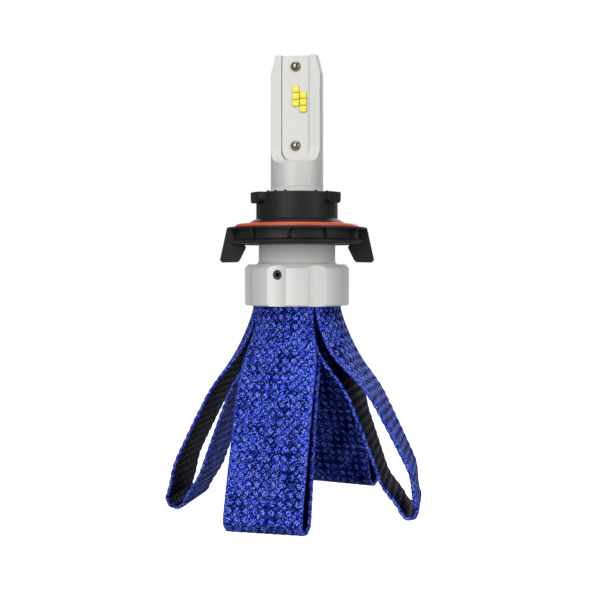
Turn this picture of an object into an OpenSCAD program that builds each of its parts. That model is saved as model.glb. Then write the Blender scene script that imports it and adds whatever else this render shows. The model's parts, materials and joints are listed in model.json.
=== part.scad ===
// LED headlight bulb with a tabbed bayonet adapter and folded braid cooling straps.
// Z = 0 is the face of the adapter's flange that meets the lamp housing, +Z towards the lamp's tip.
// Azimuths are in degrees from the front (-Y), positive towards +X.

/* [Lamp post] */
// Radius of the turned lamp post
post_r = 8.5; // [7:0.1:9]
// Height of the post's tip above the seating plane
post_top = 55.45; // [50:0.05:60]
// Distance from the axis to each milled flat
flat_y = 2.9; // [2.8:0.1:3.6]
// Height where the flats run out into their coves
flat_foot = 26.15; // [24:0.05:30]
// Radius of the cove at the foot of each flat
cove_r = 5.8; // [4:0.1:7]
// Radius of the stem that turns in the heat sink
stem_r = 7; // [6:0.1:7.2]
// How far the post is turned in its socket at rest
post_clock = -10.8; // [-45:0.1:45]

/* [LED boards] */
// Width of each board
board_w = 8.8; // [8:0.1:9.4]
// Thickness of each board
board_t = 0.95; // [0.8:0.05:1.2]
// Height of the board's rounded foot
board_foot = 21.65; // [21:0.05:24]
// Depth of the board's face below the post's flat
board_recess = 0.5; // [0.3:0.05:0.6]
// Thickness of the thermal pad behind each board
pad_t = 0.15; // [0.1:0.05:0.2]
// Size of one LED chip: width, height and thickness
chip = [2.3, 2.15, 0.4]; // [0.3:0.05:2.3]
// Distance between chips in a column
chip_pitch = 2.2; // [2.2:0.01:2.4]
// Middle height of the low beam and high beam columns
beam_z = [42.2, 40.25]; // [36:0.05:46]
// Sideways place of the low beam and high beam columns
beam_x = [0.15, 2.55]; // [0:0.05:3]
// Heights of the two rivets
rivet_z = [26.3, 51.75]; // [26:0.05:52]

/* [Adapter] */
// Outer radius of the hub
hub_r = 13.25; // [13:0.05:13.5]
// Height of the hub's top face
hub_top = 11.2; // [10:0.1:13]
// Radius of the flange plate
plate_r = 22.75; // [22:0.05:24]
// Depth of the flange from its seating face to its rim
flange_d = 5.4; // [4.6:0.1:6]
// Outer radius of the three hub tabs
tab_r = 15.4; // [15:0.1:16]
// Azimuths of the tabs
tab_az = [-63, 53, 174]; // [-180:1:180]
// Tube radius of the seal ring
seal_t = 1; // [0.8:0.05:1.1]
// Angle that the bayonet turns through
twist = 40; // [30:1:45]

/* [Heat sink] */
// Radius of the neck below the flange
neck_r = 12.45; // [12.2:0.05:12.6]
// Radius of the fluted clamp ring
ring_r = 16.9; // [16.5:0.1:18]
// Heights of the ring's upper and lower faces
ring_z = [-11.9, -25.1]; // [-25.1:0.1:-11.9]
// Number of flutes
flutes = 8; // [6:1:12]
// Depth of a flute
flute_d = 0.72; // [0.4:0.01:1]
// Azimuth of the set screw
screw_az = -22.2; // [-40:0.1:40]
// Height of the set screw
screw_z = -15.2; // [-16:0.1:-14.8]

/* [Braid straps] */
// Full width of a strap
strap_w = 26; // [22:0.5:26]
// Width of a strap where it leaves the ring
strap_root_w = 17.2; // [14:0.1:17.4]
// Thickness of the braid
strap_t = 1.35; // [1:0.05:1.4]
// Length from the hinge line to the centre of the fold
strap_len = 63.5; // [50:0.5:70]
// Outer radius of the fold at the strap's tip
fold_r = 5; // [4:0.1:6]
// Azimuths of the front, right, back and left straps
strap_az = [-20, 75, 154.5, -103]; // [-180:0.5:180]
// How far each strap leans outwards at rest
strap_lean = [10, 23.5, 22.5, 21.5]; // [6:0.5:30]

/* [Hidden] */
$fn = 96;
eps = 0.01;

// post
seat_z = hub_top + 1.8;
stem_foot = -17.4;
slot_y = flat_y - board_recess - board_t - pad_t;
slot_w = board_w + 0.4;
foot_corner = 3.2;
board_face = flat_y - board_recess;
channel_r = 1.9;
channel_top = 22.4;
pipe_x = 3.1;
pipe_r = 0.9;
pipe_top = 52;
rivet_r = 0.8;
dome_r = 1.5;
wire_r = 0.55;

// heat sink
spigot_r = 11.3;
collar_flare = 0.65;
stem_bore = stem_r + 0.05;
cavity_r = 14.2;
cavity_top = -18.1;
core_r = 11.25;
core_foot = -24.4;
clamp_pcr = 9.2;
lug_r = 12.2;
lug_z = [-4.4, -2.2];
lug_half = 8;
ring_groove_z = 5.5;
thread_r = 1.5;

// adapter
bore_r = spigot_r + 0.06;
wall_r = 20.2;
groove_r = 12.5;
seal_r = 19.1;

// straps
hinge_r = 12.7;
hinge_z = -27.2;
knuckle_r = 1.65;
stub_half = 37;
taper = [2.5, 17];
steps = 14;

// Radial position of a strap's outer face at fraction t of its length
function half_gap(t) = 1.45 + (fold_r - 1.45) * pow(t, 0.8);

// Turns what is drawn at the front to an azimuth
module at(az) { rotate([0, 0, az]) children(); }

// Stands a drawing of (radius, height) up at an azimuth and gives it a width
module radial_slab(az, width) {
  rotate([0, 0, az - 90]) rotate([90, 0, 0]) linear_extrude(width, center = true) children();
}

// Flat sector from the axis, centred on the front
module sector(r, half, z0, z1) {
  translate([0, 0, z0]) linear_extrude(z1 - z0)
    polygon([[0, 0], for (a = [-half : half / 3 : half + eps]) [r * sin(a), -r * cos(a)]]);
}

module tube(r_in, r_out, z0, z1) {
  rotate_extrude() translate([r_in, z0]) square([r_out - r_in, z1 - z0]);
}

// ---- Heat sink ----

// Spigot with the flared collar that the post stands on, the neck, and the hollow clamp ring
module body_profile() {
  polygon([
    [stem_bore, seat_z - 0.6], [stem_bore + 0.6, seat_z],
    for (a = [90 : -15 : 0])
      [post_r + collar_flare * (1 - sin(a)), hub_top + (seat_z - hub_top) * (1 - cos(a))],
    [post_r + collar_flare, hub_top - 0.6], [spigot_r - 0.5, hub_top - 0.6], [spigot_r, hub_top - 1.1],
    [spigot_r, -flange_d], [neck_r - 0.3, -flange_d], [neck_r, -flange_d - 0.3], [neck_r, -10.5],
    for (a = [0 : 15 : 90]) [13.75 - 1.3 * cos(a), -10.6 - 1.3 * sin(a)],
    [ring_r - 1, ring_z[0]], [ring_r, ring_z[0] - 1.25],
    [ring_r, ring_z[1] + 0.45], [ring_r - 0.45, ring_z[1]],
    [cavity_r, ring_z[1]], [cavity_r, cavity_top], [stem_bore, cavity_top]
  ]);
}

module heat_sink_body() {
  flute_r = 12.6;
  color("gainsboro") difference() {
    union() {
      rotate_extrude() body_profile();
      for (k = [0 : 2]) at(k * 120) intersection() {
        tube(spigot_r - 1, lug_r, lug_z[0], lug_z[1]);
        sector(20, lug_half, lug_z[0] - 1, lug_z[1] + 1);
      }
    }
    for (k = [0 : flutes - 1]) at((k + 0.5) * 360 / flutes)
      translate([0, -(ring_r + flute_r - flute_d), ring_z[1] - 1]) cylinder(r = flute_r, h = 16);
    tube(spigot_r - 1.8, spigot_r + 0.2, ring_groove_z - 1, ring_groove_z + 1);
    at(screw_az) translate([0, 0, screw_z]) rotate([90, 0, 0]) cylinder(r = thread_r + 0.05, h = 20);
    for (a = [60 : 120 : 300]) at(a) translate([0, -clamp_pcr, cavity_top - eps])
      cylinder(r = 0.9, h = 4);
  }
}

module clamp_core() {
  color("silver") difference() {
    rotate_extrude() polygon([[3.5, cavity_top], [core_r, cavity_top],
      [core_r, core_foot + 0.5], [core_r - 0.5, core_foot], [3.5, core_foot]]);
    for (a = [60 : 120 : 300]) at(a) translate([0, -clamp_pcr, core_foot - eps]) {
      cylinder(r = 1.0, h = 10);
      cylinder(r = 1.75, h = 2.2);
    }
  }
}

module clamp_screws() {
  color("dimgray") for (a = [60 : 120 : 300]) at(a) translate([0, -clamp_pcr, core_foot + 0.2])
    difference() {
      union() {
        cylinder(r = 1.65, h = 1.99);
        cylinder(r = 0.9, h = 8.8);
      }
      translate([0, 0, -eps]) cylinder(r = 0.8, h = 1.1, $fn = 6);
    }
}

module lead_grommet() {
  color("dimgray") rotate_extrude() polygon([[2, cavity_top], [3.5, cavity_top], [3.5, core_foot],
    [5, core_foot], [5, core_foot - 0.8], [4.6, core_foot - 1.2], [2, core_foot - 1.2]]);
}

module grip_ring() {
  color("dimgray") rotate_extrude() translate([spigot_r - 0.9, ring_groove_z]) circle(r = 0.88);
}

// Both ends of one strap, curved round the core and held against the ring
module strap_ends(k) {
  color("navy") at(strap_az[k]) for (r = [core_r + 0.1, core_r + 0.15 + strap_t]) intersection() {
    tube(r, r + strap_t, ring_z[1] + 0.1, cavity_top - 0.2);
    sector(20, stub_half, -26, -17);
  }
}

// ---- Lamp post ----

// Everything in front of one flat, with the cove at its foot
module flat_cut() {
  rotate([90, 0, 90]) linear_extrude(3 * post_r, center = true) {
    translate([-3 * post_r, flat_foot]) square([3 * post_r - flat_y, 40]);
    translate([-flat_y - cove_r, flat_foot]) circle(r = cove_r, $fn = 160);
  }
}

// Extrudes a drawing of (x, height) from depth y0 out to depth y1 at the front
module front_plate(y0, y1) {
  translate([0, -y0, 0]) rotate([90, 0, 0]) linear_extrude(y1 - y0) children();
}

// Board, pad or slot in the plane of a flat: large round corners at the foot, small ones at the top
module plate_outline(width, foot, top, corner) {
  translate([-width / 2, foot + foot_corner]) square([width, top - foot - foot_corner - corner]);
  translate([-width / 2 + foot_corner, foot]) square([width - 2 * foot_corner, foot_corner + 1]);
  translate([-width / 2 + corner, top - 1.5]) square([width - 2 * corner, 1.5]);
  for (s = [-1, 1]) {
    translate([s * (width / 2 - foot_corner), foot + foot_corner]) circle(r = foot_corner);
    translate([s * (width / 2 - corner), top - corner]) circle(r = corner);
  }
}

module rivet_holes() {
  for (z = rivet_z) translate([0, 6, z]) rotate([90, 0, 0]) cylinder(r = rivet_r, h = 12);
}

module lamp_post() {
  color("gainsboro") at(post_clock) difference() {
    rotate_extrude() polygon([
      [0, stem_foot], [stem_r - 0.4, stem_foot], [stem_r, stem_foot + 0.4], [stem_r, seat_z],
      [post_r - 0.1, seat_z], [post_r, seat_z + 0.1],
      [post_r, post_top - 6], [post_r - 1.4, post_top - 0.25], [post_r - 1.65, post_top], [0, post_top]
    ]);
    for (side = [0, 180]) at(side) {
      flat_cut();
      front_plate(slot_y, 12) plate_outline(slot_w, board_foot - 0.25, post_top + 5, 0.3);
    }
    translate([0, 0, stem_foot - eps]) cylinder(r = channel_r, h = channel_top - stem_foot);
    for (s = [-1, 1]) translate([s * pipe_x, 0, stem_foot - eps])
      cylinder(r = pipe_r, h = pipe_top + 1 - stem_foot);
    rivet_holes();
  }
}

module heat_pipes() {
  color("peru") at(post_clock) for (s = [-1, 1]) translate([s * pipe_x, 0, 0]) {
    translate([0, 0, stem_foot + 0.3]) cylinder(r = pipe_r, h = pipe_top - stem_foot - 0.3);
    translate([0, 0, pipe_top]) sphere(r = pipe_r);
  }
}

module thermal_pad(side) {
  color("lightgray") at(post_clock + side) difference() {
    front_plate(slot_y, slot_y + pad_t) plate_outline(board_w - 1.2, channel_top + 0.6, post_top - 1.5, 1);
    rivet_holes();
  }
}

module led_board(side) {
  color("whitesmoke") at(post_clock + side) difference() {
    front_plate(slot_y + pad_t, board_face) plate_outline(board_w, board_foot, post_top - 0.25, 1.2);
    rivet_holes();
  }
}

module chips(side, column) {
  color("gold") at(post_clock + side) for (i = [-1 : 1])
    front_plate(board_face, board_face + chip[2])
      translate([beam_x[column], beam_z[column] + i * chip_pitch]) square([chip[0], chip[1]], center = true);
}

module board_rivets() {
  dome_h = 0.95;
  color("silver") at(post_clock) for (z = rivet_z) translate([0, 0, z]) rotate([90, 0, 0]) {
    cylinder(r = rivet_r, h = 2 * board_face, center = true);
    for (s = [0, 1]) mirror([0, 0, s]) translate([0, 0, board_face]) rotate_extrude() polygon([
      [0, 0], [dome_r + 0.25, 0], [dome_r + 0.25, 0.12], [dome_r, 0.2],
      for (a = [0 : 9 : 90]) [dome_r * cos(a), 0.2 + dome_h * sin(a)]
    ]);
  }
}

module lead_wires() {
  color("firebrick") at(post_clock) for (a = [0 : 120 : 240]) at(a + 30)
    translate([0, -1.2, stem_foot + 0.4]) cylinder(r = wire_r, h = channel_top - stem_foot - 0.8, $fn = 32);
}

// ---- Adapter ----

module adapter_profile() {
  polygon([
    [bore_r, -flange_d], [bore_r, hub_top - 0.3], [bore_r + 0.3, hub_top],
    [hub_r - 0.3, hub_top], [hub_r, hub_top - 0.3], [hub_r, 2.9], [15.2, 1.8], [15.5, 1.5], [15.5, 0],
    [plate_r - 0.15, 0], [plate_r, -0.15], [plate_r, -0.65], [wall_r, -0.65], [wall_r + 0.2, -3.7],
    [21.6, -4.35], for (a = [0 : 22.5 : 90]) [20.9 + 0.7 * cos(a), -flange_d + 0.7 - 0.7 * sin(a)],
    [18.4, -flange_d], [17.9, -flange_d + 0.5], [17.9, -2.9], [14.4, -2.9], [14.4, -flange_d + 0.3],
    [14.1, -flange_d]
  ]);
}

module bayonet_space(r, half, z0, z1) {
  intersection() {
    tube(bore_r - 1, r, z0, z1);
    sector(20, half, z0 - 1, z1 + 1);
  }
}

// One hub tab with round lower corners
module hub_tab(az) {
  half_w = tab_r * sin(12.5);
  corner = 1.6;
  top = hub_top - 0.06;
  foot = hub_top - 3.6;
  at(az) intersection() {
    tube(hub_r - 0.6, tab_r, foot - 1, top);
    front_plate(hub_r - 4, tab_r + 1) {
      translate([-half_w, foot + corner]) square([2 * half_w, 4]);
      for (s = [-1, 1]) translate([s * (half_w - corner), foot + corner]) circle(r = corner);
      translate([-half_w + corner, foot]) square([2 * (half_w - corner), 4]);
    }
  }
}

module wing(side) {
  radial_slab(side * 90, 2.5)
    polygon([[18.6, -0.1], [plate_r, -0.1], [25.05, -10.5], [24.3, -11.3], [19.4, -11.2],
      [18.65, -10.55], [16.6, -6.4], [18.2, -3.2]]);
}

module adapter_base() {
  gusset_step = 360 / 11;
  color([0.16, 0.16, 0.17]) difference() {
    union() {
      rotate_extrude() adapter_profile();
      for (az = tab_az) hub_tab(az);
      for (side = [-1, 1]) wing(side);
      for (k = [0 : 10]) radial_slab(k * gusset_step - 7, 0.75)
        polygon([[wall_r - 0.5, -0.5], [plate_r - 0.2, -0.5], [wall_r + 1.1, -3.4], [wall_r - 0.5, -4.4]]);
      for (k = [0 : 5]) radial_slab(k * 60 + 30, 1)
        polygon([[14.2, -2.5], [18.1, -2.5], [18.1, -4.6], [14.2, -4.6]]);
      for (az = [-154, -128, -48, -33, -17, 29, 51, 134, 164]) at(az)
        translate([0, -(bore_r + hub_r) / 2, hub_top - 0.5]) cylinder(r = 0.45, h = 0.85, $fn = 24);
    }
    // seat of the seal
    rotate_extrude() translate([seal_r, seal_t * 0.15]) circle(r = seal_t + 0.02);
    // bayonet: three grooves part way round the bore, each with an entry slot from below
    for (k = [0 : 2]) at(k * 120) {
      at(-twist / 2) bayonet_space(groove_r, twist / 2 + lug_half + 1, lug_z[0] - 0.1, lug_z[1] + 0.1);
      at(-twist) bayonet_space(groove_r - 0.05, lug_half + 0.6, -flange_d - 1, lug_z[1] - 0.5);
    }
  }
}

module seal_ring() {
  color("orangered") rotate_extrude() translate([seal_r, seal_t * 0.15]) circle(r = seal_t, $fn = 40);
}

// ---- Set screw ----

module set_screw() {
  color("black") at(screw_az) translate([0, -(stem_r + 0.1), screw_z]) rotate([90, 0, 0]) difference() {
    rotate_extrude() polygon([[0, 0], [thread_r - 0.5, 0], [thread_r, 0.5], [thread_r, 8.4],
      [thread_r - 0.25, 8.65], [0, 8.65]]);
    translate([0, 0, 6.8]) cylinder(r = 0.87, h = 3, $fn = 6);
  }
}

// ---- Straps ----

// Side view of a strap that hangs from its hinge at the origin, with its rounded knuckle
module strap_outline() {
  polygon([
    for (a = [180 : -15 : 0]) knuckle_r * [cos(a), sin(a)],
    for (i = [1 : steps]) [half_gap(i / steps), -strap_len * i / steps],
    for (a = [10 : 10 : 170]) [fold_r * cos(a), -strap_len - fold_r * sin(a)],
    for (i = [steps : -1 : 1]) [-half_gap(i / steps), -strap_len * i / steps]
  ]);
}

// The space inside the folded strap
module strap_space() {
  inner_r = fold_r - strap_t;
  polygon([
    for (i = [2 : steps]) [half_gap(i / steps) - strap_t, -strap_len * i / steps],
    for (a = [15 : 15 : 165]) [inner_r * cos(a), -strap_len - inner_r * sin(a)],
    for (i = [steps : -1 : 2]) [strap_t - half_gap(i / steps), -strap_len * i / steps]
  ]);
}

module strap(k) {
  color("mediumblue") at(strap_az[k]) translate([0, -hinge_r, hinge_z]) rotate([-strap_lean[k], 0, 0])
    intersection() {
      radial_slab(0, strap_w) difference() {
        strap_outline();
        strap_space();
      }
      rotate([90, 0, 0]) linear_extrude(4 * fold_r, center = true) polygon([
        [-strap_root_w / 2, 3], [strap_root_w / 2, 3], [strap_root_w / 2, -taper[0]],
        [strap_w / 2, -taper[1]], [strap_w / 2, -strap_len - 9], [-strap_w / 2, -strap_len - 9],
        [-strap_w / 2, -taper[1]], [-strap_root_w / 2, -taper[0]]]);
    }
}

heat_sink_body();
clamp_core();
clamp_screws();
lead_grommet();
grip_ring();
strap_ends(0);  // front_strap_ends
strap_ends(1);  // right_strap_ends
strap_ends(2);  // back_strap_ends
strap_ends(3);  // left_strap_ends
lamp_post();
heat_pipes();
thermal_pad(0);  // front_thermal_pad
thermal_pad(180);  // back_thermal_pad
led_board(0);  // front_led_board
led_board(180);  // back_led_board
chips(0, 0);  // front_low_beam_chips
chips(180, 0);  // back_low_beam_chips
chips(0, 1);  // front_high_beam_chips
chips(180, 1);  // back_high_beam_chips
board_rivets();
lead_wires();
adapter_base();
seal_ring();
set_screw();
strap(0);  // front_strap
strap(1);  // right_strap
strap(2);  // back_strap
strap(3);  // left_strap
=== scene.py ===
import json
import math

import bmesh
import bpy
import numpy as np
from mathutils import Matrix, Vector


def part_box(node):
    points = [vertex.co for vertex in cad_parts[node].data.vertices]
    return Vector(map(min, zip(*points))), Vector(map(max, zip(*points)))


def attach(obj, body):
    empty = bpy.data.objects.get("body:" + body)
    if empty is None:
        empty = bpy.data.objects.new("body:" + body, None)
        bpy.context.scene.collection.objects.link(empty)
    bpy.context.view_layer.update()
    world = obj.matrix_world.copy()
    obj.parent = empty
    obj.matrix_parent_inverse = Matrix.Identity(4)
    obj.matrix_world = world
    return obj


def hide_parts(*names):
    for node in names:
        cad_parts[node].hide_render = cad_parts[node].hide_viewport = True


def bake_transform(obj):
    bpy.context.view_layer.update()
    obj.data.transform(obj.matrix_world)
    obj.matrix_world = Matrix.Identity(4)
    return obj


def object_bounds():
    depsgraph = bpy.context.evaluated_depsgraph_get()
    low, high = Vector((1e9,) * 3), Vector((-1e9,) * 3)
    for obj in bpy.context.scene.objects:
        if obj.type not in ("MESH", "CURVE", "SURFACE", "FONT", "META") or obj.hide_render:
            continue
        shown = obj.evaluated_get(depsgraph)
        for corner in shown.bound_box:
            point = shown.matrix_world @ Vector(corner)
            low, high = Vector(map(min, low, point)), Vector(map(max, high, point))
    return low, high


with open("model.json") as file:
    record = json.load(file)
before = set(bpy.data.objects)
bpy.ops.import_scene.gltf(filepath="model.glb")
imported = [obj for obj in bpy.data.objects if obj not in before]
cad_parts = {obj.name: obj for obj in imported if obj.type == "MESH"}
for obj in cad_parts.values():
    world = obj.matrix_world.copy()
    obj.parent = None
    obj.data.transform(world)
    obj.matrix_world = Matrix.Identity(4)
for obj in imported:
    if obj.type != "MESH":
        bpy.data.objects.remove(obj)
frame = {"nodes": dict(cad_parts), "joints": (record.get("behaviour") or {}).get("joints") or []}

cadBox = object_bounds()
# the dictionaries that give a piece's shape hold millimetres and degrees; the lights, the floor's size and
# the materials' bumps, reaches and bands are in metres
mm = 0.001


def plug(tree, value, socket):
    if isinstance(value, bpy.types.NodeSocket):
        tree.links.new(value, socket)
    else:
        socket.default_value = value


def calc(tree, operation, *values):
    node = tree.nodes.new("ShaderNodeMath")
    node.operation = operation
    for value, socket in zip(values, node.inputs):
        plug(tree, value, socket)
    return node.outputs[0]


def vcalc(tree, operation, a, b=None, scale=None):
    node = tree.nodes.new("ShaderNodeVectorMath")
    node.operation = operation
    plug(tree, a, node.inputs[0])
    if b is not None:
        plug(tree, b, node.inputs[1])
    if scale is not None:
        plug(tree, scale, node.inputs["Scale"])
    return node.outputs[0]


def split(tree, vector):
    node = tree.nodes.new("ShaderNodeSeparateXYZ")
    plug(tree, vector, node.inputs[0])
    return node.outputs


def join(tree, x, y, z):
    node = tree.nodes.new("ShaderNodeCombineXYZ")
    for value, socket in zip((x, y, z), node.inputs):
        plug(tree, value, socket)
    return node.outputs[0]


def blendColors(tree, factor, a, b):
    node = tree.nodes.new("ShaderNodeMix")
    node.data_type = "RGBA"
    plug(tree, factor, node.inputs["Factor"])
    for value, name in ((a, "A"), (b, "B")):
        socket = next(s for s in node.inputs if s.name == name and s.type == "RGBA")
        plug(tree, value, socket)
    return next(s for s in node.outputs if s.type == "RGBA")


def fade(tree, value, low, high, toLow=0.0, toHigh=1.0):
    node = tree.nodes.new("ShaderNodeMapRange")
    node.interpolation_type = "SMOOTHSTEP"
    plug(tree, value, node.inputs["Value"])
    plug(tree, low, node.inputs["From Min"])
    plug(tree, high, node.inputs["From Max"])
    plug(tree, toLow, node.inputs["To Min"])
    plug(tree, toHigh, node.inputs["To Max"])
    return node.outputs["Result"]


def noise(tree, vector, scale, detail=2.0, rough=0.5):
    node = tree.nodes.new("ShaderNodeTexNoise")
    plug(tree, vector, node.inputs["Vector"])
    plug(tree, scale, node.inputs["Scale"])
    plug(tree, detail, node.inputs["Detail"])
    plug(tree, rough, node.inputs["Roughness"])
    return node.outputs["Fac"]


def objectPlace(tree):
    return tree.nodes.new("ShaderNodeTexCoord").outputs["Object"]


def stored(tree, name):
    node = tree.nodes.new("ShaderNodeAttribute")
    node.attribute_name = name
    return node.outputs


def useGroup(tree, group, **values):
    node = tree.nodes.new(tree.bl_idname.replace("Tree", "Group"))
    node.node_tree = group
    for name, value in values.items():
        plug(tree, value, node.inputs[name])
    return node.outputs


def newGroup(name, kind, inputs, outputs):
    group = bpy.data.node_groups.new(name, kind)
    for label, socketType, default in inputs:
        socket = group.interface.new_socket(label, in_out="INPUT", socket_type=socketType)
        if default is not None:
            socket.default_value = default
    for label, socketType in outputs:
        group.interface.new_socket(label, in_out="OUTPUT", socket_type=socketType)
    return group, group.nodes.new("NodeGroupInput").outputs, group.nodes.new("NodeGroupOutput").inputs


def newMesh(name, vertices, faces=(), edges=()):
    mesh = bpy.data.meshes.new(name)
    mesh.from_pydata([tuple(v) for v in vertices], list(edges), list(faces))
    obj = bpy.data.objects.new(name, mesh)
    bpy.context.scene.collection.objects.link(obj)
    return obj


def setInputs(modifier, **values):
    for item in modifier.node_group.interface.items_tree:
        if item.item_type == "SOCKET" and item.in_out == "INPUT":
            key = item.name.replace(" ", "")
            key = key[0].lower() + key[1:]
            if key in values:
                modifier[item.identifier] = values[key]


# Runs a geometry tree on obj and hands back the result as a plain mesh under the same name
def grown(obj, tree, **values):
    modifier = obj.modifiers.new("shape", "NODES")
    modifier.node_group = tree
    setInputs(modifier, **values)
    bpy.context.view_layer.update()
    evaluated = obj.evaluated_get(bpy.context.evaluated_depsgraph_get())
    mesh = bpy.data.meshes.new_from_object(evaluated)
    obj.modifiers.remove(modifier)
    name = obj.name
    bpy.data.objects.remove(obj)
    result = bpy.data.objects.new(name, mesh)
    bpy.context.scene.collection.objects.link(result)
    return result


view = {"lens": 62.76, "sensor": 36, "back": 341, "side": 0.98, "height": -13.07, "tilt": 1.75}
camera = bpy.data.objects.new("camera", bpy.data.cameras.new("camera"))
camera.data.lens = view["lens"]
camera.data.sensor_width = view["sensor"]
camera.data.clip_start = 0.01
camera.data.clip_end = 20
camera.location = (view["side"] * mm, -view["back"] * mm, view["height"] * mm)
camera.rotation_euler = (math.radians(90 - view["tilt"]), 0, 0)
bpy.context.scene.collection.objects.link(camera)
bpy.context.scene.camera = camera
bpy.context.scene.view_settings.view_transform = "Standard"

studio = {
    "worldSeen": 1.0, "worldLight": 0.22,
    "floorDrop": 3.0, "floorSize": 3.0, "floorGlow": 1.0,
    "floorDark": 0.42, "floorPale": 0.45, "floorGrain": 60,
}
lights = {
    "keyLight": {"place": (-0.45, -0.85, 0.35), "target": (0, 0, -0.02), "size": (0.7, 0.9), "power": 6.6},
    "fillLight": {"place": (0.7, -0.6, 0.1), "target": (0, 0, -0.02), "size": (0.5, 0.9), "power": 3.4},
    "topLight": {"place": (0.0, -0.1, 0.9), "target": (0, 0, 0), "size": (0.6, 0.6), "power": 3},
    "backLight": {"place": (0.2, 0.8, 0.4), "target": (0, 0, -0.02), "size": (0.9, 0.6), "power": 4},
}


def makeWorld():
    world = bpy.data.worlds.new("studio")
    bpy.context.scene.world = world
    world.use_nodes = True
    tree = world.node_tree
    background = tree.nodes["Background"]
    seen = tree.nodes.new("ShaderNodeLightPath").outputs["Is Camera Ray"]
    difference = studio["worldSeen"] - studio["worldLight"]
    strength = calc(tree, "MULTIPLY_ADD", seen, difference, studio["worldLight"])
    background.inputs["Color"].default_value = (1, 1, 1, 1)
    plug(tree, strength, background.inputs["Strength"])


def softLight(name, place, target, size, power):
    light = bpy.data.objects.new(name, bpy.data.lights.new(name, "AREA"))
    light.data.shape = "RECTANGLE"
    light.data.size, light.data.size_y = size
    light.data.energy = power
    light.location = place
    light.rotation_euler = (Vector(target) - Vector(place)).to_track_quat("-Z", "Y").to_euler()
    bpy.context.scene.collection.objects.link(light)


def makeFloor():
    half = studio["floorSize"] / 2
    z = cadBox[0].z - studio["floorDrop"] * mm
    corners = [(-half, -half, z), (half, -half, z), (half, half, z), (-half, half, z)]
    floor = newMesh("floor", corners, [(0, 1, 2, 3)])
    material = bpy.data.materials.new("paleFloor")
    material.use_nodes = True
    tree = material.node_tree
    shader = tree.nodes["Principled BSDF"]
    grain = noise(tree, objectPlace(tree), studio["floorGrain"], 3)
    dark, pale = ((studio[key],) * 3 + (1,) for key in ("floorDark", "floorPale"))
    plug(tree, blendColors(tree, grain, dark, pale), shader.inputs["Base Color"])
    shader.inputs["Roughness"].default_value = 0.9
    shader.inputs["Emission Color"].default_value = (1, 1, 1, 1)
    seen = tree.nodes.new("ShaderNodeLightPath").outputs["Is Camera Ray"]
    plug(tree, calc(tree, "MULTIPLY", seen, studio["floorGlow"]), shader.inputs["Emission Strength"])
    floor.data.materials.append(material)


makeWorld()
makeFloor()
for name, facts in lights.items():
    softLight(name, **facts)
print("studio ready")


# Fine surface grain: a tone for the colour and a height for the bump
def makeGrain():
    group, given, out = newGroup(
        "surfaceGrain", "ShaderNodeTree",
        [("Size", "NodeSocketFloat", 0.3), ("Mottle", "NodeSocketFloat", 4.0)],
        [("Tone", "NodeSocketFloat"), ("Height", "NodeSocketFloat")])
    place = objectPlace(group)
    fine = noise(group, place, calc(group, "DIVIDE", 1000.0, given["Size"]), 3)
    broad = noise(group, place, calc(group, "DIVIDE", 1000.0, given["Mottle"]), 4)
    plug(group, calc(group, "MULTIPLY_ADD", fine, 0.4, calc(group, "MULTIPLY", broad, 0.6)), out["Tone"])
    plug(group, fine, out["Height"])
    return group


# Lines left by a lathe or a brush: noise drawn out along the axes that Stretch makes small
def makeTurning():
    group, given, out = newGroup(
        "toolLines", "ShaderNodeTree",
        [("Stretch", "NodeSocketVector", (1, 1, 40)), ("Scale", "NodeSocketFloat", 300.0)],
        [("Tone", "NodeSocketFloat")])
    place = vcalc(group, "MULTIPLY", objectPlace(group), given["Stretch"])
    plug(group, noise(group, place, given["Scale"], 3, 0.6), out["Tone"])
    return group


# Where the surface turns a corner: 0 on the flats, up to 1 on an edge, broken up by noise
def makeEdge():
    group, given, out = newGroup(
        "edgeWear", "ShaderNodeTree",
        [("Reach", "NodeSocketFloat", 0.0004), ("Breakup", "NodeSocketFloat", 400.0)],
        [("Edge", "NodeSocketFloat")])
    bevel = group.nodes.new("ShaderNodeBevel")
    bevel.samples = 4
    plug(group, given["Reach"], bevel.inputs["Radius"])
    trueNormal = group.nodes.new("ShaderNodeNewGeometry").outputs["Normal"]
    dot = group.nodes.new("ShaderNodeVectorMath")
    dot.operation = "DOT_PRODUCT"
    plug(group, bevel.outputs["Normal"], dot.inputs[0])
    plug(group, trueNormal, dot.inputs[1])
    turn = fade(group, dot.outputs["Value"], 0.995, 0.8)
    broken = fade(group, noise(group, objectPlace(group), given["Breakup"], 3), 0.3, 0.7)
    plug(group, calc(group, "MULTIPLY", turn, broken), out["Edge"])
    return group


surfaceGrain, toolLines, edgeWear = makeGrain(), makeTurning(), makeEdge()


def startMaterial(name, roughness=0.5, metallic=0.0, **sockets):
    material = bpy.data.materials.new(name)
    material.use_nodes = True
    shader = material.node_tree.nodes["Principled BSDF"]
    shader.inputs["Roughness"].default_value = roughness
    shader.inputs["Metallic"].default_value = metallic
    for key, value in sockets.items():
        shader.inputs[key].default_value = value
    return material, material.node_tree, shader


def addBump(tree, shader, height, distance):
    bump = tree.nodes.new("ShaderNodeBump")
    bump.inputs["Strength"].default_value = 1.0
    bump.inputs["Distance"].default_value = distance
    plug(tree, height, bump.inputs["Height"])
    tree.links.new(bump.outputs["Normal"], shader.inputs["Normal"])


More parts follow.
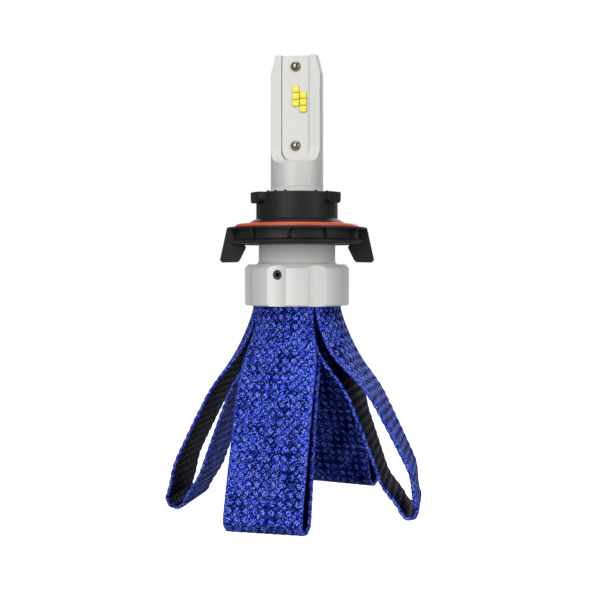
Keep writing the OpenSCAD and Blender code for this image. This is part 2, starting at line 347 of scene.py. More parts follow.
# Two tones of grain, a tone on the edges that is wear and, on the black nylon, a painted sheen, and a
# roughness that follows the grain
def grainyMaterial(name, dark, light, worn, roughness, metallic=0.0, size=0.3, mottle=4.0, bump=0.00002,
                   reach=0.0003, **sockets):
    spread = 0.06
    material, tree, shader = startMaterial(name, roughness, metallic, **sockets)
    grain = useGroup(tree, surfaceGrain, Size=size, Mottle=mottle)
    edge = useGroup(tree, edgeWear, Reach=reach)["Edge"]
    body = blendColors(tree, grain["Tone"], (*dark, 1), (*light, 1))
    plug(tree, blendColors(tree, edge, body, (*worn, 1)), shader.inputs["Base Color"])
    satin = fade(tree, grain["Tone"], 0.2, 0.8, roughness - spread, roughness + spread)
    plug(tree, satin, shader.inputs["Roughness"])
    addBump(tree, shader, grain["Height"], bump)
    return material


# Satin light alloy with tool lines, a fine blasted grain and bright edges. Inside matteBand, two heights in
# metres, it is rougher and hardly metallic, and darker with painted shade for the shadow under the flange.
def alloyMaterial(name, dark, light, roughness, stretch, scale=300.0, bump=0.00001, metallic=0.5,
                  matteBand=None):
    matteShadedLook = {"rougher": 0.25, "darker": 0.17, "metallic": 0.08, "lowerFade": 0.0002, "upperFade": 0.0004}
    material, tree, shader = startMaterial(name, roughness, metallic)
    lines = useGroup(tree, toolLines, Stretch=stretch, Scale=scale)["Tone"]
    grain = useGroup(tree, surfaceGrain, Size=0.25, Mottle=6.0)
    edge = useGroup(tree, edgeWear, Reach=0.0003)["Edge"]
    tone = calc(tree, "MULTIPLY_ADD", lines, 0.6, calc(tree, "MULTIPLY", grain["Tone"], 0.4))
    body = blendColors(tree, fade(tree, tone, 0.3, 0.7), (*dark, 1), (*light, 1))
    satin = fade(tree, tone, 0.25, 0.75, roughness - 0.05, roughness + 0.08)
    if matteBand is not None:
        z = split(tree, objectPlace(tree))[2]
        low, high = matteBand
        above = fade(tree, z, low - matteShadedLook["lowerFade"], low + matteShadedLook["lowerFade"])
        below = fade(tree, z, high, high - matteShadedLook["upperFade"])
        matteShaded = calc(tree, "MULTIPLY", above, below)
        satin = calc(tree, "MULTIPLY_ADD", matteShaded, matteShadedLook["rougher"], satin)
        # painted shade: the band is darkened for the shadow that the flange casts on the neck
        body = blendColors(tree, calc(tree, "MULTIPLY", matteShaded, matteShadedLook["darker"]), body, (0, 0, 0, 1))
        lessMetal = calc(tree, "MULTIPLY_ADD", matteShaded, matteShadedLook["metallic"] - metallic, metallic)
        plug(tree, lessMetal, shader.inputs["Metallic"])
    plug(tree, blendColors(tree, edge, body, (0.95, 0.95, 0.95, 1)), shader.inputs["Base Color"])
    plug(tree, satin, shader.inputs["Roughness"])
    height = calc(tree, "ADD", lines, calc(tree, "MULTIPLY", grain["Height"], 0.7))
    addBump(tree, shader, height, bump)
    return material


# Blue enamelled wire, a bundle to each strand, with glints on single wires painted into the colour as
# highlights.
# It reads the attributes that sleeveTree stores.
def braidMaterial():
    look = {
        "wires": 5.0, "wireStretch": 4.0, "wireNoise": 1.7, "glintSize": 0.36, "patchSize": 9.0,
        "speckleShare": 0.6, "diveDark": 3.4, "sideDark": 2.6, "selvedgeLift": 0.4, "contrast": 2.0,
        "wireDark": (0.0003, 0.0012, 0.012, 1), "wireBlue": (0.02, 0.06, 0.88, 1),
        "glint": (0.3, 0.42, 1.0, 1),
    }
    material, tree, shader = startMaterial("blueBraid", 0.4, 0.6)
    shader.inputs["Specular IOR Level"].default_value = 0.02
    flatPlace = stored(tree, "flat")["Vector"]
    across, along, family = split(tree, stored(tree, "weave")["Vector"])
    tone = stored(tree, "tone")["Fac"]
    # round wires side by side, each with its own tone that changes along it
    wirePhase = calc(tree, "MULTIPLY", across, look["wires"] * math.pi)
    wireHeight = calc(tree, "ABSOLUTE", calc(tree, "COSINE", wirePhase))
    wireId = calc(tree, "FLOOR", calc(tree, "MULTIPLY_ADD", across, look["wires"], 0.5))
    wirePlace = join(tree, calc(tree, "MULTIPLY_ADD", tone, 37.0, wireId),
                     calc(tree, "MULTIPLY", along, look["wireStretch"]), tone)
    wireTone = fade(tree, noise(tree, wirePlace, look["wireNoise"], 1), 0.42, 0.58)
    # painted highlight on the crest of a float, painted shade where it dives and down its sides
    alongSquared = calc(tree, "MULTIPLY", along, along)
    acrossSquared = calc(tree, "MULTIPLY", across, across)
    crest = calc(tree, "SUBTRACT", 1.0, calc(tree, "MULTIPLY", alongSquared, look["diveDark"]))
    side = calc(tree, "SUBTRACT", 1.0, calc(tree, "MULTIPLY", acrossSquared, look["sideDark"]))
    lift = calc(tree, "MAXIMUM", calc(tree, "MULTIPLY", crest, side), 0.0)
    # a fine speckle that paints glints as highlights and the gaps between wires as dark shade
    speckle = fade(tree, noise(tree, flatPlace, 1000.0 / look["glintSize"], 1, 0.8), 0.44, 0.56)
    patches = noise(tree, flatPlace, 1000.0 / look["patchSize"], 2)
    level = calc(tree, "MULTIPLY_ADD", lift, 0.95, 0.05)
    # painted sheen: the second strand family is painted darker than the first, as the sheen follows the
    # strands' direction
    level = calc(tree, "MULTIPLY", level, calc(tree, "MULTIPLY_ADD", family, -0.5, 1.0))
    level = calc(tree, "MULTIPLY", level, calc(tree, "MULTIPLY_ADD", tone, 0.7, 0.65))
    level = calc(tree, "MULTIPLY", level, fade(tree, patches, 0.3, 0.7, 0.7, 1.25))
    # painted highlight along the sleeve's two long edges
    level = calc(tree, "MULTIPLY_ADD", stored(tree, "selvedge")["Fac"], look["selvedgeLift"], level)
    share = look["speckleShare"]
    broken = calc(tree, "MULTIPLY_ADD", speckle, share, calc(tree, "MULTIPLY", wireTone, 1 - share))
    level = calc(tree, "MULTIPLY", level, calc(tree, "MULTIPLY", broken, look["contrast"]))
    # painted shade from the shade attribute: the insides of the loops and the straps turned from the lamps
    # are darker
    level = calc(tree, "MULTIPLY", level, stored(tree, "shade")["Fac"])
    body = blendColors(tree, fade(tree, level, 0.05, 0.85), look["wireDark"], look["wireBlue"])
    # painted glints: a bright highlight colour where the speckle is high on a lit float
    glint = calc(tree, "MULTIPLY", fade(tree, broken, 0.62, 0.92), fade(tree, level, 0.3, 0.9))
    plug(tree, blendColors(tree, glint, body, look["glint"]), shader.inputs["Base Color"])
    plug(tree, fade(tree, wireTone, 0.0, 1.0, 0.34, 0.55), shader.inputs["Roughness"])
    addBump(tree, shader, wireHeight, 0.00006)
    return material


def ledMaterial():
    material, tree, shader = startMaterial("phosphor", 0.35, 0.0)
    grain = useGroup(tree, surfaceGrain, Size=0.35, Mottle=1.2)
    tone = fade(tree, grain["Tone"], 0.3, 0.7)
    yellow = blendColors(tree, tone, (0.92, 0.8, 0.01, 1), (1.0, 0.93, 0.03, 1))
    plug(tree, yellow, shader.inputs["Base Color"])
    addBump(tree, shader, grain["Height"], 0.00002)
    return material


materials = {
    "post": alloyMaterial("satinPost", (0.6, 0.6, 0.585), (0.68, 0.68, 0.66), 0.55, (1, 1, 0.06), 900,
                          metallic=0.25),
    "turned": alloyMaterial("turnedAlloy", (0.7, 0.7, 0.68), (0.77, 0.77, 0.75), 0.5, (0.05, 0.05, 1), 6000,
                            0.000004, metallic=0.3, matteBand=(-0.011, 0.02)),
    "core": alloyMaterial("plainAlloy", (0.45, 0.45, 0.45), (0.62, 0.62, 0.62), 0.45, (1, 1, 0.1), 700),
    # the black nylon's lighter edge tone is a painted sheen
    "nylon": grainyMaterial("blackNylon", (0.002, 0.0021, 0.0024), (0.019, 0.0195, 0.02),
                            (0.06, 0.06, 0.063), 0.46, size=0.35, mottle=5, bump=0.00004, reach=0.0004,
                            **{"Specular IOR Level": 0.28}),
    "seal": grainyMaterial("orangeSeal", (0.62, 0.06, 0.02), (0.78, 0.1, 0.035), (0.85, 0.2, 0.1), 0.38,
                           size=0.5, mottle=6, bump=0.00001),
    "screw": grainyMaterial("blackSteel", (0.01, 0.01, 0.011), (0.03, 0.03, 0.03), (0.25, 0.25, 0.25), 0.4,
                            0.6),
    "rubber": grainyMaterial("blackRubber", (0.012, 0.012, 0.012), (0.03, 0.03, 0.03), (0.06, 0.06, 0.06),
                             0.75),
    "board": grainyMaterial("boardWhite", (0.67, 0.665, 0.64), (0.72, 0.715, 0.69), (0.8, 0.8, 0.77), 0.4,
                            size=0.5, mottle=5, bump=0.000006),
    "pad": grainyMaterial("thermalPad", (0.4, 0.42, 0.45), (0.55, 0.56, 0.58), (0.6, 0.6, 0.6), 0.8),
    "steel": grainyMaterial("polishedSteel", (0.2, 0.175, 0.125), (0.3, 0.265, 0.2), (0.5, 0.46, 0.38), 0.16,
                            1.0, bump=0.000004),
    "copper": grainyMaterial("copper", (0.7, 0.32, 0.18), (0.85, 0.45, 0.28), (0.95, 0.6, 0.4), 0.35, 1.0),
    "wire": grainyMaterial("wireCover", (0.4, 0.02, 0.02), (0.55, 0.04, 0.03), (0.6, 0.1, 0.08), 0.5),
    "braid": braidMaterial(),
    "phosphor": ledMaterial(),
    # painted shadow: the dark strips in the gaps beside the boards
    "bead": grainyMaterial("bondingBead", (0.03, 0.026, 0.02), (0.07, 0.06, 0.045), (0.1, 0.09, 0.07), 0.6),
    "chipRim": grainyMaterial("chipRim", (0.4, 0.33, 0.05), (0.55, 0.46, 0.1), (0.65, 0.55, 0.15), 0.45),
}

finishes = {
    "post": ["lamp_post"],
    "turned": ["heat_sink_body"],
    "core": ["clamp_core"],
    "nylon": ["adapter_base"],
    "seal": ["seal_ring"],
    "screw": ["set_screw", "clamp_screws"],
    "rubber": ["lead_grommet", "grip_ring"],
    "board": ["front_led_board", "back_led_board"],
    "pad": ["front_thermal_pad", "back_thermal_pad"],
    "copper": ["heat_pipes"],
    "wire": ["lead_wires"],
}
for finish, nodes in finishes.items():
    for node in nodes:
        mesh = frame["nodes"][node].data
        mesh.materials.clear()
        mesh.materials.append(materials[finish])
print("materials ready")


board = {
    "turn": -10.8, "face": 2.4,
    "chipSize": (2.3, 2.15), "chipPitch": 2.2, "chipGap": 0.06, "chipDepth": 0.4, "chipCorner": 0.06,
    "padInset": 0.07, "padRise": 0.04, "padCorner": 0.05,
    "beadPlace": 4.5, "beadSize": (0.22, 0.8), "beadFoot": 3.2, "beadTop": 1.5, "beadSink": 0.55,
    "beadCorner": 0.05,
}
rivet = {
    "radius": 1.5, "height": 0.95, "flangeRadius": 1.75, "flangeHeight": 0.16, "flangeChamfer": 0.07,
    "flangeStep": 0.06,
}


# Sets a shape on every point, turned as the point says
def placingTree():
    tree, given, out = newGroup(
        "setOnPoints", "GeometryNodeTree",
        [("Geometry", "NodeSocketGeometry", None), ("Shape", "NodeSocketObject", None),
         ("Size", "NodeSocketFloat", 1.0), ("Material", "NodeSocketMaterial", None)],
        [("Geometry", "NodeSocketGeometry")])
    shape = tree.nodes.new("GeometryNodeObjectInfo")
    plug(tree, given["Shape"], shape.inputs["Object"])
    turn = tree.nodes.new("GeometryNodeInputNamedAttribute")
    turn.data_type = "FLOAT_VECTOR"
    turn.inputs["Name"].default_value = "turn"
    placed = tree.nodes.new("GeometryNodeInstanceOnPoints")
    plug(tree, given["Geometry"], placed.inputs["Points"])
    plug(tree, shape.outputs["Geometry"], placed.inputs["Instance"])
    plug(tree, turn.outputs["Attribute"], placed.inputs["Rotation"])
    plug(tree, given["Size"], placed.inputs["Scale"])
    solid = tree.nodes.new("GeometryNodeRealizeInstances")
    plug(tree, placed.outputs[0], solid.inputs[0])
    finished = tree.nodes.new("GeometryNodeSetMaterial")
    plug(tree, solid.outputs[0], finished.inputs["Geometry"])
    plug(tree, given["Material"], finished.inputs["Material"])
    plug(tree, finished.outputs[0], out["Geometry"])
    return tree


# A block seen from the front: size is across, deep and high, in millimetres
def bevelledBlock(name, size, centreY, corner):
    made = bmesh.new()
    bmesh.ops.create_cube(made, size=1)
    bmesh.ops.scale(made, vec=[v * mm for v in size], verts=made.verts)
    bmesh.ops.translate(made, vec=(0, centreY * mm, 0), verts=made.verts)
    bmesh.ops.bevel(made, geom=made.edges[:], offset=corner * mm, segments=2, profile=0.5, affect="EDGES")
    mesh = bpy.data.meshes.new(name)
    made.to_mesh(mesh)
    made.free()
    mesh.shade_smooth()
    return bpy.data.objects.new(name, mesh)


# A flanged dome with its axis along -Y, spun from its outline
def rivetHead(name):
    steps, segments = 8, 32
    flange, lift = rivet["flangeRadius"], rivet["flangeHeight"]
    outline = [(flange, 0), (flange, 0.6 * lift), (flange - rivet["flangeChamfer"], lift),
               (rivet["radius"] + rivet["flangeStep"], lift)]
    for i in range(steps):
        a = math.pi / 2 * i / steps
        outline.append((rivet["radius"] * math.cos(a), lift + rivet["height"] * math.sin(a)))
    vertices, faces = [], []
    for r, h in outline:
        for k in range(segments):
            a = 2 * math.pi * k / segments
            vertices.append((r * math.cos(a) * mm, -h * mm, r * math.sin(a) * mm))
    for i in range(len(outline) - 1):
        for k in range(segments):
            n = (k + 1) % segments
            faces.append((i * segments + k, i * segments + n, (i + 1) * segments + n, (i + 1) * segments + k))
    vertices.append((0, -(lift + rivet["height"]) * mm, 0))
    top = (len(outline) - 1) * segments
    faces += [(top + k, top + (k + 1) % segments, len(vertices) - 1) for k in range(segments)]
    faces.append(tuple(range(segments - 1, -1, -1)))
    mesh = bpy.data.meshes.new(name)
    mesh.from_pydata(vertices, [], faces)
    mesh.shade_smooth()
    return bpy.data.objects.new(name, mesh)


# Copies a shape to places, a list of (point, side) where side is 0 on the front board and 180 on the back
def setOnBoards(name, shape, places, material, replaced, tree):
    points = newMesh(name, [place for place, side in places])
    turns = [(0.0, 0.0, math.radians(board["turn"] + side)) for place, side in places]
    points.data.attributes.new("turn", "FLOAT_VECTOR", "POINT").data.foreach_set("vector", np.ravel(turns))
    bpy.context.scene.collection.objects.link(shape)
    piece = grown(points, tree, shape=shape, material=material)
    bpy.data.objects.remove(shape)
    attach(piece, "post")
    if replaced:
        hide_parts(*replaced)
    print(name, "set on the boards:", len(places))


def middle(node):
    low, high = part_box(node)
    return (Vector(low) + Vector(high)) / 2


# A place across the board, in from its face and at height z, for setOnBoards
def boardPlace(side, across, depth, z):
    a = math.radians(board["turn"]) + math.radians(side)
    x, y = across * mm, -depth * mm
    return (x * math.cos(a) - y * math.sin(a), x * math.sin(a) + y * math.cos(a), z), side


def makeChips(tree):
    nodes = {side + "_" + beam + "_beam_chips": 0 if side == "front" else 180
             for side in ("front", "back") for beam in ("low", "high")}
    places = [(middle(node) + Vector((0, 0, i * board["chipPitch"] * mm)), side)
              for node, side in nodes.items() for i in (-1, 0, 1)]
    width, height = (v - board["chipGap"] for v in board["chipSize"])
    inset = 2 * board["padInset"]
    padDepth = board["chipDepth"] / 2
    body = bevelledBlock("chipBodyShape", (width, board["chipDepth"], height), 0, board["chipCorner"])
    pad = bevelledBlock("chipPadShape", (width - inset, padDepth, height - inset),
                        -(board["chipDepth"] - padDepth) / 2 - board["padRise"], board["padCorner"])
    setOnBoards("chipBodies", body, places, materials["chipRim"], nodes, tree)
    setOnBoards("chipPhosphor", pad, places, materials["phosphor"], nodes, tree)


# painted shadow: a dark strip along each long side of a board, standing for the shade in the gap to its slot
def makeGapShadows(tree):
    low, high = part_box("front_led_board")
    foot, top = low[2] + board["beadFoot"] * mm, high[2] - board["beadTop"] * mm
    depth = board["face"] - board["beadSink"]
    places = [boardPlace(side, hand * board["beadPlace"], depth, (foot + top) / 2)
              for side in (0, 180) for hand in (-1, 1)]
    wide, deep = board["beadSize"]
    bead = bevelledBlock("beadShape", (wide, deep, (top - foot) / mm), 0, board["beadCorner"])
    setOnBoards("bondingBeads", bead, places, materials["bead"], [], tree)


def makeRivets(tree):
    low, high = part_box("board_rivets")
    heights = (low[2] + rivet["flangeRadius"] * mm, high[2] - rivet["flangeRadius"] * mm)
    places = [boardPlace(side, 0, board["face"], z) for z in heights for side in (0, 180)]
    setOnBoards("rivetHeads", rivetHead("rivetShape"), places, materials["steel"], ["board_rivets"],
                tree)


def makeBoardParts():
    tree = placingTree()
    makeChips(tree)
    makeGapShadows(tree)
    makeRivets(tree)


makeBoardParts()


braid = {
    "columnPitch": 2.81, "columns": 19, "rowPitch": 2.75,
    "strandWidth": 1.9, "floatLength": 3.3, "crimp": 0.17, "crown": 0.1, "floatDepth": 0.22,
    "rootWidth": 20.5, "thickness": 1.35, "skin": 0.2,
    "length": 63.5, "foldRadius": 5.0, "rootGap": 1.45, "insideShade": 0.22,
    "coreRadius": 12.7, "wrapFade": 30.0, "widthFade": 17.0, "top": -19.0,
    "liningColumns": 49, "selvedgeFade": 0.8, "weld": 0.002, "seed": 4,
    "firstShare": 0.04, "legSteps": 30, "foldSteps": 15, "rootSteps": 6, "rootClear": 1.2, "gapGrowth": 0.75,
    "pinchStart": 0.82, "pinchLength": 0.18, "sagPeak": 0.22, "guideSteps": 180, "smoothing": 14,
    "softAbove": 20, "hangStart": 2, "closedEnd": 0.001,
    "blendStart": 1.8, "blendEnd": 6.0,
}
# shade darkens a whole strap as painted shade, most on the back strap, which lies in shade
straps = {
    "front": {"lean": 10.0, "extra": 0.0, "width": 25.0, "fold": 4.3, "pinch": 0.0, "sag": 0.0,
              "rootAzimuth": -21.0, "turn": 9.0, "sway": -2.5, "shade": 1.0},
    "right": {"lean": 22.4, "extra": 0.0, "width": 26.0, "fold": 6.2, "pinch": 0.55, "sag": 1.1,
              "rootAzimuth": 68.0, "turn": 6.5, "sway": 0.0, "shade": 0.85},
    "back": {"lean": 22.5, "extra": -0.5, "width": 26.0, "fold": 5.0, "pinch": 0.0, "sag": 0.0,
             "rootAzimuth": 159.0, "turn": 0.0, "sway": 0.0, "shade": 0.62},
    "left": {"lean": 22.3, "extra": 0.6, "width": 26.0, "fold": 5.8, "pinch": 0.4, "sag": 1.1,
             "rootAzimuth": -111.0, "turn": 0.5, "sway": 0.0, "shade": 0.85},
}


# One visible stretch of a strand, a closed pillow that runs along Y. Its weave attribute holds the place
# across and along it, each from -0.5 to 0.5.
def makeFloat():
    acrossSteps, alongSteps = 4, 6
    width, length = braid["strandWidth"] * mm, braid["floatLength"] * mm
    crossing = math.hypot(braid["columnPitch"], braid["rowPitch"]) / 2 * mm
    made = bmesh.new()
    layer = made.verts.layers.float_vector.new("weave")
    grid = []
    for j in range(alongSteps + 1):
        b = j / alongSteps - 0.5
        row = []
        for i in range(acrossSteps + 1):
            a = i / acrossSteps - 0.5
            rise = braid["crimp"] * math.cos(math.pi * b * length / crossing) - braid["crown"] * 4 * a * a
            vertex = made.verts.new((a * width, b * length, rise * mm))
            vertex[layer] = (a, b, 0)
            row.append(vertex)
        grid.append(row)
    for j in range(alongSteps):
        for i in range(acrossSteps):
            made.faces.new((grid[j][i], grid[j][i + 1], grid[j + 1][i + 1], grid[j + 1][i]))
    rim = grid[0][:] + [row[-1] for row in grid[1:]] + grid[-1][-2::-1] + [row[0] for row in grid[-2:0:-1]]
    keel = made.verts.new((0, 0, -braid["floatDepth"] * mm))
    keel[layer] = (0, 0.5, 0)
    for first, second in zip(rim, rim[1:] + rim[:1]):
        made.faces.new((second, first, keel))
    mesh = bpy.data.meshes.new("braidFloat")
    made.to_mesh(mesh)
    made.free()
    obj = bpy.data.objects.new("braidFloat", mesh)
    bpy.context.scene.collection.objects.link(obj)
    return obj


# Lays strand floats on a diamond lattice, then wraps it round a flat sleeve that follows the guide
def sleeveTree():
    tree, given, out = newGroup(
        "braidedSleeve", "GeometryNodeTree",
        [("Geometry", "NodeSocketGeometry", None), ("Float", "NodeSocketObject", None),
         ("Columns", "NodeSocketInt", 19), ("Rows", "NodeSocketInt", 50),
         ("Column Pitch", "NodeSocketFloat", 0.0028), ("Row Pitch", "NodeSocketFloat", 0.00275),
         ("Skin", "NodeSocketFloat", 0.0002), ("Shade", "NodeSocketFloat", 1.0),
         ("Inside Shade", "NodeSocketFloat", 0.2), ("Seed", "NodeSocketInt", 4),
         ("Material", "NodeSocketMaterial", None)],
        [("Geometry", "NodeSocketGeometry")])

    def node(kind, **props):
        made = tree.nodes.new(kind)
        for key, value in props.items():
            setattr(made, key, value)
        return made

    def named(label):
        found = node("GeometryNodeInputNamedAttribute", data_type="FLOAT_VECTOR")
        found.inputs["Name"].default_value = label
        return found.outputs["Attribute"]

    def store(geometry, label, kind, value, domain="POINT"):
        made = node("GeometryNodeStoreNamedAttribute", data_type=kind, domain=domain)
        plug(tree, geometry, made.inputs["Geometry"])
        made.inputs["Name"].default_value = label
        plug(tree, value, next(s for s in made.inputs if s.name == "Value" and s.enabled))
        return made.outputs[0]

    columns, rows = given["Columns"], given["Rows"]
    columnPitch, rowPitch = given["Column Pitch"], given["Row Pitch"]
    around = calc(tree, "MULTIPLY", columns, columnPitch)
    length = calc(tree, "MULTIPLY", rows, rowPitch)
    guide = node("GeometryNodeMeshToCurve")
    plug(tree, given["Geometry"], guide.inputs[0])
    floatShape = node("GeometryNodeObjectInfo", transform_space="ORIGINAL")
    plug(tree, given["Float"], floatShape.inputs["Object"])
    diagonal = calc(tree, "ARCTAN2", columnPitch, rowPitch)

    parts = []
    for family, turn in ((0, -1.0), (1, 1.0)):
        lattice = node("GeometryNodeMeshGrid")
        plug(tree, calc(tree, "SUBTRACT", around, columnPitch), lattice.inputs["Size X"])
        plug(tree, calc(tree, "SUBTRACT", length, rowPitch), lattice.inputs["Size Y"])
        plug(tree, columns, lattice.inputs["Vertices X"])
        plug(tree, rows, lattice.inputs["Vertices Y"])
        shifted = node("GeometryNodeSetPosition")
        plug(tree, lattice.outputs["Mesh"], shifted.inputs["Geometry"])
        offset = join(tree, calc(tree, "MULTIPLY", columnPitch, 0.5 * family),
                      calc(tree, "MULTIPLY", rowPitch, 0.5 * family), 0.0)
        plug(tree, offset, shifted.inputs["Offset"])
        placed = node("GeometryNodeInstanceOnPoints")
        plug(tree, shifted.outputs[0], placed.inputs["Points"])
        plug(tree, floatShape.outputs["Geometry"], placed.inputs["Instance"])
        plug(tree, join(tree, 0.0, 0.0, calc(tree, "MULTIPLY", diagonal, turn)), placed.inputs["Rotation"])
        randomTone = node("FunctionNodeRandomValue", data_type="FLOAT")
        plug(tree, calc(tree, "ADD", given["Seed"], float(family)), randomTone.inputs["Seed"])
        value = next(s for s in randomTone.outputs if s.enabled and s.type == "VALUE")
        toned = store(placed.outputs[0], "tone", "FLOAT", value, "INSTANCE")
        solid = node("GeometryNodeRealizeInstances")
        plug(tree, toned, solid.inputs[0])
        a, b = split(tree, named("weave"))[:2]
        parts.append(store(solid.outputs[0], "weave", "FLOAT_VECTOR", join(tree, a, b, float(family))))

    # a plain lining shows between the strands; its weave place at the end of a float gets the painted shade
    # of a dive, for the shade between the strands
    lining = node("GeometryNodeMeshGrid")
    plug(tree, around, lining.inputs["Size X"])
    plug(tree, length, lining.inputs["Size Y"])
    lining.inputs["Vertices X"].default_value = braid["liningColumns"]
    plug(tree, calc(tree, "MULTIPLY", rows, 2.0), lining.inputs["Vertices Y"])
    sunk = node("GeometryNodeSetPosition")
    plug(tree, lining.outputs["Mesh"], sunk.inputs["Geometry"])
    plug(tree, join(tree, 0.0, 0.0, calc(tree, "MULTIPLY", given["Skin"], -1.0)), sunk.inputs["Offset"])
    parts.append(store(sunk.outputs[0], "weave", "FLOAT_VECTOR", (0.0, 0.5, 0.0)))
    together = node("GeometryNodeJoinGeometry")
    for part in parts:
        tree.links.new(part, together.inputs[0])

    # place of each point: round the sleeve, along it, and above its skin
    x, y, height = split(tree, node("GeometryNodeInputPosition").outputs[0])
    factor = calc(tree, "ADD", calc(tree, "DIVIDE", y, length), 0.5)
    turnShare = calc(tree, "FRACT", calc(tree, "ADD", calc(tree, "DIVIDE", x, around), 1.5))

    def sampled(attribute):
        sample = node("GeometryNodeSampleCurve", mode="FACTOR", data_type="FLOAT_VECTOR")
        plug(tree, guide.outputs[0], sample.inputs["Curves"])
        plug(tree, factor, sample.inputs["Factor"])
        if attribute is None:
            return sample.outputs["Position"]
        value = next(s for s in sample.inputs if s.name == "Value" and s.type == "VECTOR")
        plug(tree, named(attribute), value)
        return next(s for s in sample.outputs if s.name == "Value" and s.type == "VECTOR")

    centre, acrossAxis, facing = sampled(None), sampled("across"), sampled("facing")
    halfWidth, wrap, halfThick = split(tree, sampled("section"))
    straight = calc(tree, "SUBTRACT", halfWidth, halfThick)
    halfRound = calc(tree, "MULTIPLY_ADD", straight, 2.0, calc(tree, "MULTIPLY", halfThick, math.pi))
    run = calc(tree, "MULTIPLY", turnShare, calc(tree, "MULTIPLY", halfRound, 2.0))
    farSide = calc(tree, "GREATER_THAN", run, halfRound)
    sign = calc(tree, "MULTIPLY_ADD", farSide, -2.0, 1.0)
    sideRun = calc(tree, "SUBTRACT", run, calc(tree, "MULTIPLY", farSide, halfRound))
    flatRun = calc(tree, "MINIMUM", sideRun, calc(tree, "MULTIPLY", straight, 2.0))
    bend = calc(tree, "DIVIDE", calc(tree, "SUBTRACT", sideRun, flatRun),
                calc(tree, "MAXIMUM", halfThick, 1e-6))
    reach = calc(tree, "ADD", halfThick, height)
    # w runs across the strap from its middle, and n out of its face
    w = calc(tree, "ADD", calc(tree, "SUBTRACT", flatRun, straight),
             calc(tree, "MULTIPLY", reach, calc(tree, "SINE", bend)))
    w = calc(tree, "MULTIPLY", w, sign)
    n = calc(tree, "MULTIPLY", sign, calc(tree, "MULTIPLY", reach, calc(tree, "COSINE", bend)))
    # the sleeve's two long edges, where the wires turn back
    pastFlat = calc(tree, "SUBTRACT", calc(tree, "ABSOLUTE", w), straight)
    selvedge = fade(tree, pastFlat, -braid["selvedgeFade"] * mm, 0.0)
    # painted shade: the far side of the sleeve, the inside of the loop, is darker except at its edges, and
    # the whole strap by Shade
    inward = calc(tree, "MULTIPLY_ADD", farSide, calc(tree, "SUBTRACT", given["Inside Shade"], 1.0), 1.0)
    shade = calc(tree, "MULTIPLY", given["Shade"], calc(tree, "MAXIMUM", inward, selvedge))
    marked = store(together.outputs[0], "selvedge", "FLOAT", selvedge)
    marked = store(marked, "shade", "FLOAT", shade)
    marked = store(marked, "flat", "FLOAT_VECTOR", join(tree, x, y, height))
    # the sleeve curls round the core by the angle q, as a short series
    q = calc(tree, "MULTIPLY", wrap, w)
    qq = calc(tree, "MULTIPLY", q, q)
    sinc = calc(tree, "MULTIPLY_ADD", qq, calc(tree, "MULTIPLY_ADD", qq, 1 / 120, -1 / 6), 1.0)
    cosine = calc(tree, "MULTIPLY_ADD", qq, calc(tree, "MULTIPLY_ADD", qq, 1 / 24, -0.5), 1.0)
    drop = calc(tree, "MULTIPLY", calc(tree, "MULTIPLY", q, w), calc(tree, "MULTIPLY_ADD", qq, 1 / 24, -0.5))
    lateral = calc(tree, "MULTIPLY", sinc, calc(tree, "ADD", w, calc(tree, "MULTIPLY", n, q)))
    rise = calc(tree, "ADD", drop, calc(tree, "MULTIPLY", n, cosine))
    place = vcalc(tree, "ADD", centre, vcalc(tree, "SCALE", acrossAxis, scale=lateral))
    place = vcalc(tree, "ADD", place, vcalc(tree, "SCALE", facing, scale=rise))
    wrapped = node("GeometryNodeSetPosition")
    plug(tree, marked, wrapped.inputs["Geometry"])
    plug(tree, place, wrapped.inputs["Position"])
    welded = node("GeometryNodeMergeByDistance")
    plug(tree, wrapped.outputs[0], welded.inputs["Geometry"])
    welded.inputs["Distance"].default_value = braid["weld"] * mm
    smooth = node("GeometryNodeSetShadeSmooth")
    plug(tree, welded.outputs[0], smooth.inputs["Geometry"])
    solid = node("GeometryNodeRealizeInstances")
    plug(tree, smooth.outputs[0], solid.inputs[0])
    finished = node("GeometryNodeSetMaterial")
    plug(tree, solid.outputs[0], finished.inputs["Geometry"])
    plug(tree, given["Material"], finished.inputs["Material"])
    plug(tree, finished.outputs[0], out["Geometry"])
    return tree


# Rises smoothly from 0 to 1 while x does
def eased(x):
    x = np.clip(x, 0, 1)
    return x * x * (3 - 2 * x)


def hingePlace(strap):
    return next(j for j in frame["joints"] if j["child"] == strap + "_loop")["pos_m"]


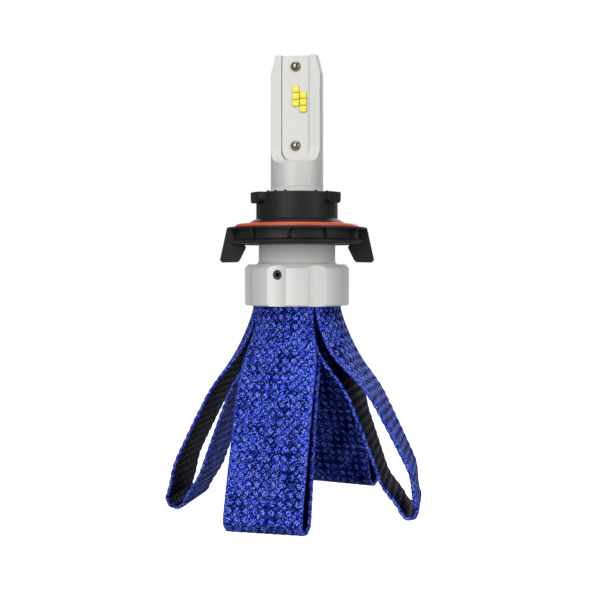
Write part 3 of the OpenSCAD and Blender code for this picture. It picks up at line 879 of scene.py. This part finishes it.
# Middle line of a strap, from its clamped outer end round the fold to its inner end, in millimetres
def strapGuide(name, facts):
    hx, hy, hz = (1000 * v for v in hingePlace(name))
    azimuth, hingeRadius = math.atan2(hx, -hy), math.hypot(hx, hy)
    half = braid["thickness"] / 2
    t = np.linspace(braid["firstShare"], 1, braid["legSteps"])
    gap = braid["rootGap"] + (facts["fold"] - braid["rootGap"]) * t ** braid["gapGrowth"] - half
    gap *= 1 - facts["pinch"] * eased((t - braid["pinchStart"]) / braid["pinchLength"])
    fold = gap[-1]
    down = -t * (braid["length"] + facts["extra"] + braid["foldRadius"] - half - fold)
    early = t / braid["sagPeak"]
    bow = -facts["sag"] * (early * np.exp(1 - early)) ** 2
    turn = np.linspace(0, math.pi, braid["foldSteps"])[1:-1]
    tip = np.c_[bow[-1] + fold * np.cos(turn), down[-1] - fold * np.sin(turn)]
    local = np.r_[np.c_[bow + gap, down], tip, np.c_[bow - gap, down][::-1]]
    lean = math.radians(facts["lean"])
    radius = hingeRadius + local[:, 0] * math.cos(lean) - local[:, 1] * math.sin(lean)
    height = hz + local[:, 0] * math.sin(lean) + local[:, 1] * math.cos(lean)
    rise = np.linspace(braid["top"], hz + braid["rootClear"], braid["rootSteps"])
    outer, inner = (np.full(braid["rootSteps"], hingeRadius + side * half) for side in (1, -1))
    line = np.r_[np.c_[outer, rise], np.c_[radius, height], np.c_[inner, rise[::-1]]]
    # even steps, then smoothing passes that take out the kink at the hinge and leave the fold as it is
    reach = np.r_[0, np.cumsum(np.hypot(*np.diff(line, axis=0).T))]
    even = np.linspace(0, reach[-1], braid["guideSteps"])
    line = np.c_[np.interp(even, reach, line[:, 0]), np.interp(even, reach, line[:, 1])]
    for step in range(braid["smoothing"]):
        soft = eased((line[1:-1, 1] - hz) / braid["softAbove"] + 1)[:, None]
        line[1:-1] += soft * ((line[:-2] + line[2:]) / 4 - line[1:-1] / 2)
    depth = hz + braid["hangStart"] - line[:, 1]
    angle = azimuth + (math.radians(facts["rootAzimuth"]) - azimuth) * (1 - eased(depth / braid["wrapFade"]))
    angle += math.radians(facts["sway"]) * eased(depth / braid["length"])
    points = np.c_[line[:, 0] * np.sin(angle), -line[:, 0] * np.cos(angle), line[:, 1]]
    # the clamp holds a strap square to its own azimuth, and it turns a little as it hangs
    faced = angle + math.radians(facts["turn"]) * eased(depth / braid["length"])
    across = np.c_[np.cos(faced), np.sin(faced), np.zeros(len(faced))]
    tangent = np.gradient(points, axis=0)
    tangent /= np.linalg.norm(tangent, axis=1)[:, None]
    facing = np.cross(tangent, across)
    facing /= np.linalg.norm(facing, axis=1)[:, None]
    share = np.linspace(0, 1, len(points))
    width = braid["rootWidth"] + (facts["width"] - braid["rootWidth"]) * eased(depth / braid["widthFade"])
    outward = np.where(share < 0.5, 1.0, -1.0)
    curl = outward * (1 - eased(depth / braid["wrapFade"])) / (braid["coreRadius"] + outward * half)
    thick = np.full(len(points), half - braid["skin"])
    thick[[0, -1]] = braid["closedEnd"]
    section = np.c_[width / 2 * mm, curl / mm, thick * mm]
    return points, across, facing, section, reach[-1]


def makeStraps():
    floatShape, tree = makeFloat(), sleeveTree()
    for name, facts in straps.items():
        points, across, facing, section, reach = strapGuide(name, facts)
        guide = newMesh(name + "Braid", points * mm, edges=[(i, i + 1) for i in range(len(points) - 1)])
        for label, values in (("across", across), ("facing", facing), ("section", section)):
            layer = guide.data.attributes.new(label, "FLOAT_VECTOR", "POINT")
            layer.data.foreach_set("vector", values.astype(np.float32).ravel())
        piece = grown(guide, tree, float=floatShape, columns=braid["columns"],
                      rows=round(reach / braid["rowPitch"]), columnPitch=braid["columnPitch"] * mm,
                      rowPitch=braid["rowPitch"] * mm, skin=braid["skin"] * mm, shade=facts["shade"],
                      insideShade=braid["insideShade"], seed=braid["seed"], material=materials["braid"])
        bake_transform(piece)
        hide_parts(name + "_strap", name + "_strap_ends")
        print(name, "strap:", len(piece.data.polygons), "faces,", round(reach), "mm along the fold")
    bpy.data.objects.remove(floatShape)


makeStraps()
